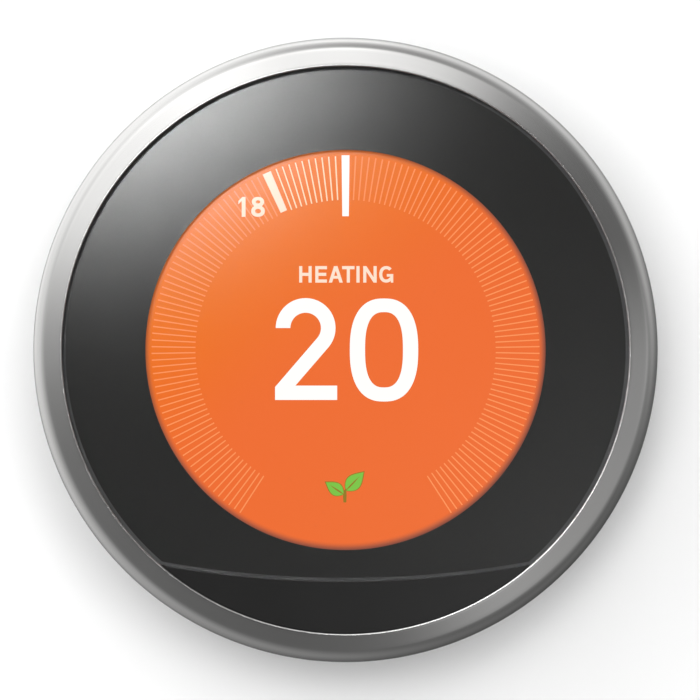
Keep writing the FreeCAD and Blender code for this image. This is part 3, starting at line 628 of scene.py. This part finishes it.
def lit_ink(name, tone, dim=0.96):
    """Dots of the display lit in one colour, with the panel's own slight unevenness."""
    finish = UnderLens(name)
    cloud = finish.noise(0.0035, detail=1.0)
    return finish.shade({
        **finish.gloss(),
        "Base Color": BLACK,
        "Emission Color": finish.tint(cloud, tuple(c * dim for c in tone), tone),
        "Emission Strength": PANEL_GLOW,
    })


MARK_GAP = 0.010 * MM
MARK_THICK = 0.020 * MM
MARK_LAYER = 0.012 * MM                 # how much further out each layer of a sign lies
MARK_MIDDLE = PANEL_FRONT + MARK_GAP + MARK_THICK / 2
pale_orange = lit_ink("pale_orange", (0.960, 0.295, 0.103))
bright_cream = lit_ink("bright_cream", (0.98, 0.72, 0.49))
tick = {"Step": math.radians(2), "Inner": 20.2 * MM, "Outer": 26.1 * MM, "Width": 0.17 * MM,
        "Thickness": MARK_THICK, "Depth": MARK_MIDDLE}
for name, ink, first, count in (
        ("scale_right", pale_orange, 3, 73),
        ("scale_left", pale_orange, -147, 61),
        ("scale_warming", bright_cream, -21, 10)):
    ticks = made_by_nodes(name, scale_group, {
        **tick, "Ink": ink, "Count": count, "First Angle": math.radians(first)})
    fit(ticks, "head", "display_ticks")


# Display: figures and signs ---------------------------------------------------------------------
# The wanted warmth, the present one on the scale, the word that says what the heating does, the
# two long marks, and a small green sprout. All are shapes on the lit field, drawn here in millimetres.

def oval(x, z, half_x, half_z, start=0.0, end=360.0, steps=40, square=2.0):
    """Points on an oval from one angle to another. Above 2, square pushes its corners out."""
    whole = abs(end - start) >= 360.0
    points = []
    for n in range(steps if whole else steps + 1):
        angle = math.radians(start + (end - start) * n / steps)
        c = math.cos(angle)
        s = math.sin(angle)
        points.append((x + half_x * math.copysign(abs(c) ** (2 / square), c),
                       z + half_z * math.copysign(abs(s) ** (2 / square), s)))
    return points


def letter(sign, w, h, s):
    """The outline of one sign, then its holes, w wide and h high with strokes s wide."""
    m = (h - s) / 2
    if sign == "H":
        return [[(0, 0), (s, 0), (s, m), (w - s, m), (w - s, 0), (w, 0), (w, h), (w - s, h),
                 (w - s, m + s), (s, m + s), (s, h), (0, h)]]
    if sign == "E":
        arm = w * 0.94
        return [[(0, 0), (w, 0), (w, s), (s, s), (s, m), (arm, m), (arm, m + s), (s, m + s),
                 (s, h - s), (w, h - s), (w, h), (0, h)]]
    if sign == "A":
        foot = 1.1 * s
        inside = h - 1.5 * s
        low, high = 0.24 * h, 0.24 * h + 0.9 * s
        lean = (w / 2 - foot) / inside
        top = 0.56 * s
        return [[(0, 0), (foot, 0), (foot + lean * low, low), (w - foot - lean * low, low),
                 (w - foot, 0), (w, 0), (w / 2 + top, h), (w / 2 - top, h)],
                [(foot + lean * high, high), (w - foot - lean * high, high), (w / 2, inside)]]
    if sign == "T":
        c = w / 2
        return [[(0, h), (0, h - s), (c - s / 2, h - s), (c - s / 2, 0), (c + s / 2, 0),
                 (c + s / 2, h - s), (w, h - s), (w, h)]]
    if sign == "I":
        return [[(0, 0), (s, 0), (s, h), (0, h)]]
    if sign == "N":
        e = 1.75 * s
        return [[(0, 0), (s, 0), (s, h - e), (w - s, 0), (w, 0), (w, h), (w - s, h),
                 (w - s, e), (s, h), (0, h)]]
    if sign == "G":
        outer = oval(w / 2, h / 2, w / 2, h / 2, 42, 302, 30, 2.2)
        inner = oval(w / 2, h / 2, w / 2 - s, h / 2 - s, 322, 44, 30, 2.2)
        spur = [(w - 0.85 * s, 0.14 * h), (w - 0.75 * s, 0), (w, 0), (w, 0.52 * h), (0.54 * w, 0.52 * h),
                (0.54 * w, 0.52 * h - 0.85 * s), (w - s, 0.52 * h - 0.85 * s), (w - s, 0.30 * h)]
        return [outer + spur + inner]
    if sign == "1":
        return [[(w - s, 0), (w, 0), (w, h), (w - 0.85 * s, h), (0, 0.79 * h), (0, 0.63 * h),
                 (w - s, 0.80 * h)]]
    low, high = 0.285 * h, 0.75 * h
    waist = oval(w / 2, low, w / 2, low, 128, 412, 36, 2.15)
    waist += oval(w / 2, high, 0.45 * w, 0.25 * h, -52, 232, 36, 2.15)
    return [waist, oval(w / 2, low, w / 2 - s, low - 0.88 * s, 360, 0, 30, 2.15),
            oval(w / 2, high, 0.45 * w - s, 0.25 * h - 0.88 * s, 360, 0, 30, 2.15)]


def big_two():
    """The figure 2: a bowl, a slanting leg and a foot, with a flat-cut end."""
    x, z, outer, inner, leg = -5.37, 2.96, 4.02, 2.06, -40.0
    return [[*oval(x, z, outer, outer, 180, leg, 48), (-6.75, -4.79), (-1.13, -4.79), (-1.13, -6.72),
             (-9.48, -6.72), (-9.48, -4.98), *oval(x, z, inner, inner, leg, 180, 40)]]


def big_zero():
    """The figure 0: a squarish oval and its hole."""
    return [oval(5.175, 0.0, 4.60, 6.93, steps=96, square=2.45),
            oval(5.175, 0.03, 2.55, 5.07, 360, 0, 80, 2.6)]


def long_mark(clock, inner, outer, inner_width, outer_width):
    """A slightly tapered bar that points to the middle; clock is degrees right of the top."""
    turn = math.radians(clock)
    ends = [(-inner_width, inner), (inner_width, inner), (outer_width, outer), (-outer_width, outer)]
    return [[(x / 2 * math.cos(turn) + z * math.sin(turn), z * math.cos(turn) - x / 2 * math.sin(turn))
             for x, z in ends]]


def raised(name, shapes, material, slot, layer=0):
    """Thin solid shapes on the lit field. Each shape is an outline and then its holes, in millimetres."""
    mesh = bpy.data.meshes.new(name)
    build = bmesh.new()
    front = PANEL_FRONT + MARK_GAP + layer * MARK_LAYER + MARK_THICK
    for loops in shapes:
        rows = []
        for depth in (front, front - MARK_THICK):
            rows.append([[build.verts.new((x * MM, -depth, z * MM)) for x, z in loop] for loop in loops])
        flat = [[vertex for loop in row for vertex in loop] for row in rows]
        for corners in tessellate_polygon([[Vector((x, z, 0.0)) for x, z in loop] for loop in loops]):
            for row in flat:
                build.faces.new([row[n] for n in corners])
        for near, far in zip(*rows):
            for n in range(len(near)):
                build.faces.new([near[n - 1], near[n], far[n], far[n - 1]])
    bmesh.ops.recalc_face_normals(build, faces=build.faces)
    build.to_mesh(mesh)
    build.free()
    mesh.materials.append(material)
    piece = bpy.data.objects.new(name, mesh)
    scene.collection.objects.link(piece)
    fit(piece, "head", slot)


def shifted(loops, x, z):
    return [[(px + x, pz + z) for px, pz in loop] for loop in loops]


white = lit_ink("display_white", (0.985, 0.980, 0.955), 0.99)
cream = lit_ink("display_cream", (0.985, 0.762, 0.612))
raised("wanted_warmth", [big_two(), big_zero()], white, "display_marks")

WORD = [("H", -6.24, -4.56), ("E", -4.07, -2.50), ("A", -2.27, -0.36), ("T", -0.46, 1.21),
        ("I", 1.47, 1.89), ("N", 2.38, 4.19), ("G", 4.53, 6.42)]
WORD_FOOT, WORD_HEIGHT, WORD_STROKE = 9.07, 2.22, 0.42
raised("heating_word", [shifted(letter(sign, right - left, WORD_HEIGHT, WORD_STROKE), left, WORD_FOOT)
                        for sign, left, right in WORD], cream, "display_marks")

FIGURE_FOOT, FIGURE_HEIGHT, FIGURE_STROKE = 17.92, 2.68, 0.52
raised("scale_figure",
       [shifted(letter("1", 0.97, FIGURE_HEIGHT, FIGURE_STROKE), -14.42, FIGURE_FOOT),
        shifted(letter("8", 1.84, FIGURE_HEIGHT, FIGURE_STROKE), -12.70, FIGURE_FOOT)],
       cream, "display_marks", layer=1)
raised("present_warmth", [long_mark(0, 18.0, 26.2, 0.88, 1.06)], white, "display_marks")
raised("wanted_pointer", [long_mark(-24, 20.4, 26.1, 0.93, 1.2)], cream, "display_marks")


LEAF_STEPS = 16


def leaf(x, z, length, width, lean):
    """A pointed leaf from its stalk end, leaning right of upright by an angle in degrees."""
    turn = math.radians(lean)
    points = []
    for side in (1, -1):
        for n in range(LEAF_STEPS):
            t = n / LEAF_STEPS if side > 0 else 1 - n / LEAF_STEPS
            across = side * width * math.sin(math.pi * t ** 0.85) * (1 - 0.25 * t)
            along = length * t
            points.append((x + across * math.cos(turn) + along * math.sin(turn),
                           z + along * math.cos(turn) - across * math.sin(turn)))
    return [points]


SPROUT_X, SPROUT_Z = -0.1, -20.5
LEAF_EDGE = 0.10                        # how far the olive edge shows at the foot of a leaf
LEAVES = [(0.10, 1.55, 3.70, 1.22, 44), (-0.10, 1.05, 3.15, 1.06, -56)]
stem = [[(-0.18, 0.0), (0.20, 0.0), (0.24, 0.9), (0.20, 1.9), (-0.12, 1.6), (-0.24, 0.8)]]
olive = lit_ink("olive_edge", (0.290, 0.190, 0.022))
green = lit_ink("sprout_green", (0.205, 0.560, 0.068), 0.92)
raised("sprout_edge", [shifted(leaf(x, z, length, width, lean), SPROUT_X, SPROUT_Z)
                       for x, z, length, width, lean in LEAVES], olive, "display_icon")
raised("sprout_leaves",
       [shifted(leaf(x + LEAF_EDGE * math.sin(math.radians(lean)),
                     z + LEAF_EDGE * math.cos(math.radians(lean)),
                     length - 0.30, width - 0.12, lean), SPROUT_X, SPROUT_Z)
        for x, z, length, width, lean in LEAVES], green, "display_icon", layer=2)
raised("sprout_veins",
       [shifted(leaf(x, z, length * 0.74, 0.11, lean), SPROUT_X, SPROUT_Z)
        for x, z, length, width, lean in LEAVES], olive, "display_icon", layer=4)
raised("sprout_stem", [shifted(stem, SPROUT_X, SPROUT_Z)], olive, "display_icon", layer=6)


# Face: lens, sensor window and mask -------------------------------------------------------------
# The lens is one clear domed plate with black ink printed behind it, all but a round window. Below
# a shallow arc-shaped seam the face goes on as glossy black plastic that lets heat rays through.

SEAM_R = 140.0 * MM
SEAM_LOWEST_Z = -30.9 * MM
SEAM_MIDDLE_Z = SEAM_LOWEST_Z + SEAM_R
SEAM_GAP = 0.08 * MM
WINDOW_R = 26.84 * MM
BACK_BREAK = 0.12 * MM                  # the broken edge round the back of each part of the face
EDGE_ROW = 0.997                        # a row close to the edge, which keeps the dome's shine even
SHARP_EDGE = math.radians(32)
LIP_STEPS = 6


def front_depth(x, z):
    """How far from the wall the domed front of the face is."""
    return CROWN - (x * x + z * z) / (2 * DOME_R)


def face_outline(above, inset=0.0, seam_steps=120, rim_steps=300):
    """The outline above or below the seam: points and the way inwards at each."""
    seam_r = SEAM_R - SEAM_GAP / 2 if above else SEAM_R + SEAM_GAP / 2
    seam_r += -inset if above else inset
    rim_r = LENS_R - inset
    corner_z = (SEAM_MIDDLE_Z ** 2 + rim_r ** 2 - seam_r ** 2) / (2 * SEAM_MIDDLE_Z)
    corner_x = math.sqrt(rim_r ** 2 - corner_z ** 2)
    spread = math.asin(corner_x / seam_r)
    points = []
    for n in range(seam_steps):
        turn = -spread + 2 * spread * n / seam_steps
        inwards = Vector((-math.sin(turn), math.cos(turn)))
        place = Vector((seam_r * math.sin(turn), SEAM_MIDDLE_Z - seam_r * math.cos(turn)))
        points.append((place, inwards if above else -inwards))
    start = math.atan2(corner_z, corner_x)
    sweep = math.pi - 2 * start if above else -(math.pi + 2 * start)
    for n in range(rim_steps):
        turn = start + sweep * n / rim_steps
        out = Vector((math.cos(turn), math.sin(turn)))
        points.append((out * rim_r, -out))
    for n in (0, seam_steps):
        corner = (points[n - 1][1] + points[(n + 1) % len(points)][1]).normalized()
        points[n] = (points[n][0], corner)
    return points


def skin(name, rows, material, start=None, end=None, closed=False):
    """A mesh through rows of points, fanned to a point at each end or joined into a ring."""
    build = bmesh.new()
    rows = [[build.verts.new(point) for point in row] for row in rows]
    pairs = list(zip(rows, rows[1:]))
    if closed:
        pairs.append((rows[-1], rows[0]))
    for near, far in pairs:
        for n in range(len(near)):
            build.faces.new([near[n - 1], near[n], far[n], far[n - 1]])
    for tip, row in ((start, rows[0]), (end, rows[-1])):
        if tip is not None:
            vertex = build.verts.new(tip)
            for n in range(len(row)):
                build.faces.new([row[n - 1], row[n], vertex])
    bmesh.ops.recalc_face_normals(build, faces=build.faces)
    mesh = bpy.data.meshes.new(name)
    build.to_mesh(mesh)
    build.free()
    mesh.shade_smooth()
    mesh.set_sharp_from_angle(angle=SHARP_EDGE)
    mesh.materials.append(material)
    piece = bpy.data.objects.new(name, mesh)
    scene.collection.objects.link(piece)
    return piece


def face_plate(name, above, middle, back, lip, rings, material):
    """One part of the face: flat back, straight edge, rounded lip and domed front."""
    outline = face_outline(above)
    rows = []
    for inset, depth in ((BACK_BREAK, back), (0.0, back + BACK_BREAK)):
        rows.append([(p.x + i.x * inset, -depth, p.y + i.y * inset) for p, i in outline])
    for step in range(LIP_STEPS + 1):
        turn = math.radians(90 * step / LIP_STEPS)
        inset = lip * (1 - math.cos(turn))
        drop = lip * (1 - math.sin(turn))
        row = []
        for p, i in outline:
            x, z = p.x + i.x * inset, p.y + i.y * inset
            row.append((x, drop - front_depth(x, z), z))
        rows.append(row)
    edge = rows[-1]
    for share in [EDGE_ROW] + [1 - (n / rings) ** 0.8 for n in range(1, rings)]:
        row = []
        for x, y, z in edge:
            px = middle[0] + (x - middle[0]) * share
            pz = middle[1] + (z - middle[1]) * share
            row.append((px, -front_depth(px, pz), pz))
        rows.append(row)
    crown = (middle[0], -front_depth(*middle), middle[1])
    return skin(name, rows, material, start=(middle[0], -back, middle[1]), end=crown)


def clear_lens(name):
    """Clear lens. What lies behind it carries its gloss, so it bends no light and only tints it."""
    finish = Finish(name)
    haze = finish.noise(0.006, detail=3.0)
    return finish.shade({
        "Base Color": finish.tint(haze, (0.965, 0.970, 0.965), (0.975, 0.980, 0.975)),
        "Transmission Weight": 1.0,
        "IOR": 1.0,
        "Roughness": 0.0,
    })


def heat_window(name):
    """Glossy black polyethylene with a polished skin."""
    finish = Finish(name)
    haze = finish.noise(0.006, detail=3.0)
    return finish.shade({
        "Base Color": finish.tint(haze, (0.0132, 0.0132, 0.0130), (0.0158, 0.0158, 0.0155)),
        "IOR": 1.5,
        "Roughness": 0.03 + 0.03 * haze,
    })


def printed_ink(name):
    """Black ink with the fine tooth of screen printing."""
    finish = UnderLens(name)
    tooth = finish.noise(0.00025, detail=2.0)
    return finish.shade({
        **finish.gloss(),
        "Base Color": finish.tint(tooth, (0.0148, 0.0148, 0.0144), (0.0174, 0.0174, 0.0169)),
    })


lens = face_plate("face_lens_clear", True, (0.0, 4 * MM), LENS_BACK, 0.04 * MM, 26,
                  clear_lens("clear_lens"))
lens.visible_shadow = False
fit(lens, "head", "face_lens", "face_lens")

window = face_plate("sensor_window_black", False, (0.0, -34.2 * MM), LENS_BACK, 0.05 * MM, 12,
                    heat_window("heat_window"))
fit(window, "head", "sensor_lens", "sensor_window")

MASK_BACK = LENS_BACK - 0.030 * MM
MASK_FRONT = LENS_BACK - 0.008 * MM
MASK_INSET = 0.3 * MM
mask_rim = [p for p, _ in face_outline(True, inset=MASK_INSET)]
mask_rows = []
for outside, depth in ((True, MASK_FRONT), (False, MASK_FRONT), (False, MASK_BACK), (True, MASK_BACK)):
    places = [p if outside else p.normalized() * WINDOW_R for p in mask_rim]
    mask_rows.append([(p.x, -depth, p.y) for p in places])
mask = skin("lens_mask", mask_rows, printed_ink("mask_ink"), closed=True)
fit(mask, "head", "face_mask")


# Ring -------------------------------------------------------------------------------------------
# One piece of stainless steel, turned and then satin-brushed as it spins: a flat bevel round the
# face with a broken inner edge, a large round to the side, and a side that narrows to the back.

ring_low, ring_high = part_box("outer_ring")
RING_FRONT = -ring_low.y
RING_BACK = -ring_high.y
LIP_R = 37.96 * MM
LIP = 0.17 * MM
BACK_R = 41.3 * MM
BORE_R = 40.5 * MM
WEB_BACK = 28.55 * MM
WEB_STEP = 1.4 * MM
BEVEL_SLOPE = 0.36
EDGE_ROUND = 2.7 * MM
CORNER_R = 42.07 * MM
corner = Vector((CORNER_R, RING_FRONT - BEVEL_SLOPE * (CORNER_R - LIP_R - LIP)))
lip_top = Vector((LIP_R + LIP, RING_FRONT))
side_back = Vector((BACK_R, RING_BACK))


def rounded(before, turning, after, radius, steps):
    """Points on the arc that rounds a corner between two straight edges."""
    back = (before - turning).normalized()
    ahead = (after - turning).normalized()
    half = back.angle(ahead) / 2
    centre = turning + (back + ahead).normalized() * (radius / math.sin(half))
    first = turning + back * (radius / math.tan(half)) - centre
    last = turning + ahead * (radius / math.tan(half)) - centre
    whole = first.angle_signed(last)
    return [centre + Matrix.Rotation(-whole * n / steps, 2) @ first for n in range(steps + 1)]


def straight(start, end, steps):
    return [start.lerp(end, n / steps) for n in range(steps)]


arc = rounded(lip_top, corner, side_back, EDGE_ROUND, 24)
bore_edge = Vector((LIP_R, RING_FRONT + BEVEL_SLOPE * LIP * 1.05))
lip = rounded(Vector((LIP_R, WEB_BACK)), bore_edge, corner, LIP, 12)
profile = lip[:-1]
profile += straight(lip[-1], arc[0], 6)
profile += arc[:-1]
profile += straight(arc[-1], side_back, 8)
profile += [side_back, Vector((BORE_R, RING_BACK)), Vector((BORE_R, WEB_BACK - WEB_STEP)),
            Vector((BORE_R - WEB_STEP, WEB_BACK)), Vector((LIP_R, WEB_BACK))]

turning_group, making, given = node_group("turned_ring", {
    "Path Radius": "Float", "Segments": "Int", "Steel": "Material"})
outline_curve = making.add("GeometryNodeMeshToCurve", None, {0: given["Geometry"]})
path = making.add("GeometryNodeCurvePrimitiveCircle", None, {
    "Radius": given["Path Radius"], "Resolution": given["Segments"]})
swept = making.add("GeometryNodeCurveToMesh", None, {"Curve": path, "Profile Curve": outline_curve})
upright = making.add("GeometryNodeTransform", None, {"Geometry": swept, "Rotation": (math.pi / 2, 0.0, 0.0)})
real = making.add("GeometryNodeRealizeInstances", None, {"Geometry": upright})
steel = making.add("GeometryNodeSetMaterial", None, {"Geometry": real, "Material": given["Steel"]})
making.add("NodeGroupOutput", None, {0: steel})


def satin_steel(name):
    """Stainless steel with fine circular brushing and the slight cloudiness of hand finishing."""
    finish = Finish(name)
    x = finish.along("X")
    z = finish.along("Z")
    around = finish.vector(finish.from_axis(x, z), finish.along("Y"), 0.0)
    lines = finish.noise(0.00007, detail=3.0, place=around)
    broken = finish.noise(0.0035, detail=2.0)
    brushing = (lines - 0.5) * (0.6 + 0.8 * broken)
    cloud = finish.noise(0.012, detail=2.0)
    return finish.shade({
        "Base Color": finish.tint(cloud, (0.655, 0.650, 0.640), (0.700, 0.697, 0.690)),
        "Metallic": 1.0,
        "Roughness": 0.20 + 0.10 * brushing + 0.05 * (cloud - 0.5),
    }, brushing, 0.5e-6)


PATH_R = 40.0 * MM
RING_SEGMENTS = 720
RING_SHARP_EDGE = math.radians(30)
profile_mesh = bpy.data.meshes.new("ring_profile")
profile_mesh.from_pydata([(p.x - PATH_R, -p.y, 0.0) for p in profile],
                         [(n, (n + 1) % len(profile)) for n in range(len(profile))], [])
ring = made_by_nodes("steel_ring", turning_group, {
    "Path Radius": PATH_R, "Segments": RING_SEGMENTS, "Steel": satin_steel("satin_steel")}, profile_mesh)
shell = bmesh.new()
shell.from_mesh(ring.data)
bmesh.ops.recalc_face_normals(shell, faces=shell.faces)
shell.to_mesh(ring.data)
shell.free()
ring.data.shade_smooth()
ring.data.set_sharp_from_angle(angle=RING_SHARP_EDGE)
fit(ring, "ring", "ring_steel", "outer_ring")
